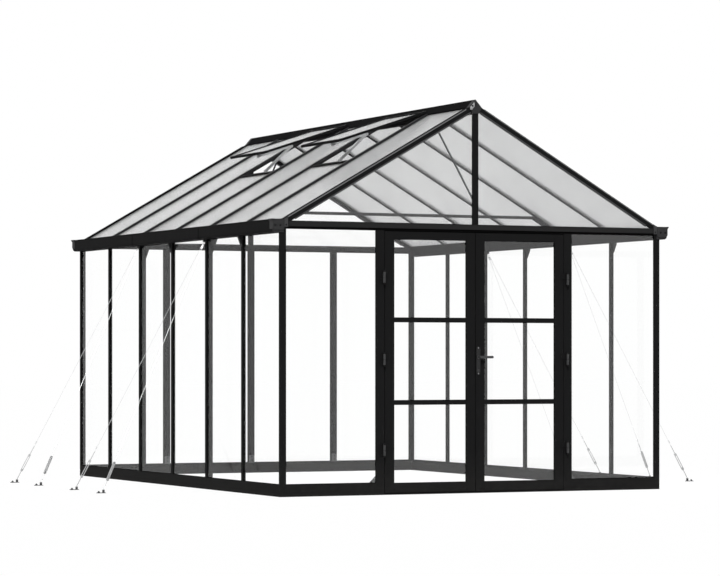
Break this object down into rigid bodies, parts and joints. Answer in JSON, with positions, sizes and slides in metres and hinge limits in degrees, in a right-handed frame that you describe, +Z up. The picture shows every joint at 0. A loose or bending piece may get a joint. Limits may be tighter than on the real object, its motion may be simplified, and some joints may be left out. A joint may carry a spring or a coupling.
{
  "type": "glass greenhouse",
  "caption": "Black framed glass greenhouse with clear walls, frosted pitched roof, double doors, open roof vents, gutters and wire stays",
  "frame": {"origin": "on the ground at the middle of the house's footprint", "axes": "Z up, the doors face -Y, +X to the right as seen from the doors, the ridge along Y"},
  "size_m": [4.964, 4.258, 2.8257],
  "materials": {
    "black_frame": "matt",
    "dark_caps": "matt",
    "clear_glass": "polished",
    "frosted_sheet": "satin",
    "grey_opener": "satin",
    "steel_wire": "satin",
    "peg_steel": "matt",
    "hinge_steel": "satin"
  },
  "bodies": {
    "house": {"front_base_rails": "black_frame", "back_base_rail": "black_frame", "side_base_rails": "black_frame", "door_threshold": "black_frame", "corner_posts": "black_frame", "left_wall_posts": "black_frame", "right_wall_posts": "black_frame", "back_wall_posts": "black_frame", "door_jambs": "black_frame", "eave_beams": "black_frame", "left_gutter": "black_frame", "right_gutter": "black_frame", "gutter_end_caps": "dark_caps", "gutter_brackets": "dark_caps", "front_header": "black_frame", "back_header": "black_frame", "door_head_stop": "black_frame", "gable_king_posts": "black_frame", "gable_rafters": "black_frame", "left_rafters": "black_frame", "right_rafters": "black_frame", "ridge_beam": "black_frame", "ridge_end_caps": "dark_caps", "portal_posts": "black_frame", "portal_knees": "black_frame", "tie_bars": "black_frame", "ridge_braces": "black_frame", "vent_sills": "black_frame", "vent_hinges": "hinge_steel", "vent_sashes": "black_frame", "vent_panes": "frosted_sheet", "vent_openers": "grey_opener", "left_wall_glass": "clear_glass", "right_wall_glass": "clear_glass", "front_wall_glass": "clear_glass", "back_wall_glass": "clear_glass", "gable_glass": "clear_glass", "left_roof_sheets": "frosted_sheet", "right_roof_sheets": "frosted_sheet", "jamb_hinges": "hinge_steel", "stay_brackets": "dark_caps", "stay_wires": "steel_wire", "stay_turnbuckles": "steel_wire", "ground_pegs": "peg_steel"},
    "left_leaf": {"left_door_stiles": "black_frame", "left_door_rails": "black_frame", "left_door_glass": "clear_glass", "left_door_hinges": "hinge_steel"},
    "right_leaf": {"right_door_stiles": "black_frame", "right_door_rails": "black_frame", "right_door_glass": "clear_glass", "right_door_hinges": "hinge_steel", "handle_plates": "hinge_steel"},
    "lever": {"lever_handle": "hinge_steel"}
  },
  "joints": [
    {"name": "left_door_swing", "type": "hinge", "parent": "house", "child": "left_leaf", "pos_m": [-0.737, -2.125, 0.958], "axis": [0, 0, -1], "range_deg": [0, 110]},
    {"name": "right_door_swing", "type": "hinge", "parent": "house", "child": "right_leaf", "pos_m": [0.737, -2.125, 0.958], "axis": [0, 0, 1], "range_deg": [0, 110]},
    {"name": "lever_turn", "type": "hinge", "parent": "right_leaf", "child": "lever", "pos_m": [0.02, -2.075, 0.9757], "axis": [0, 1, 0], "range_deg": [0, 40], "stiffness_Nm_per_rad": 1.5, "springref_deg": -22.92}
  ]
}
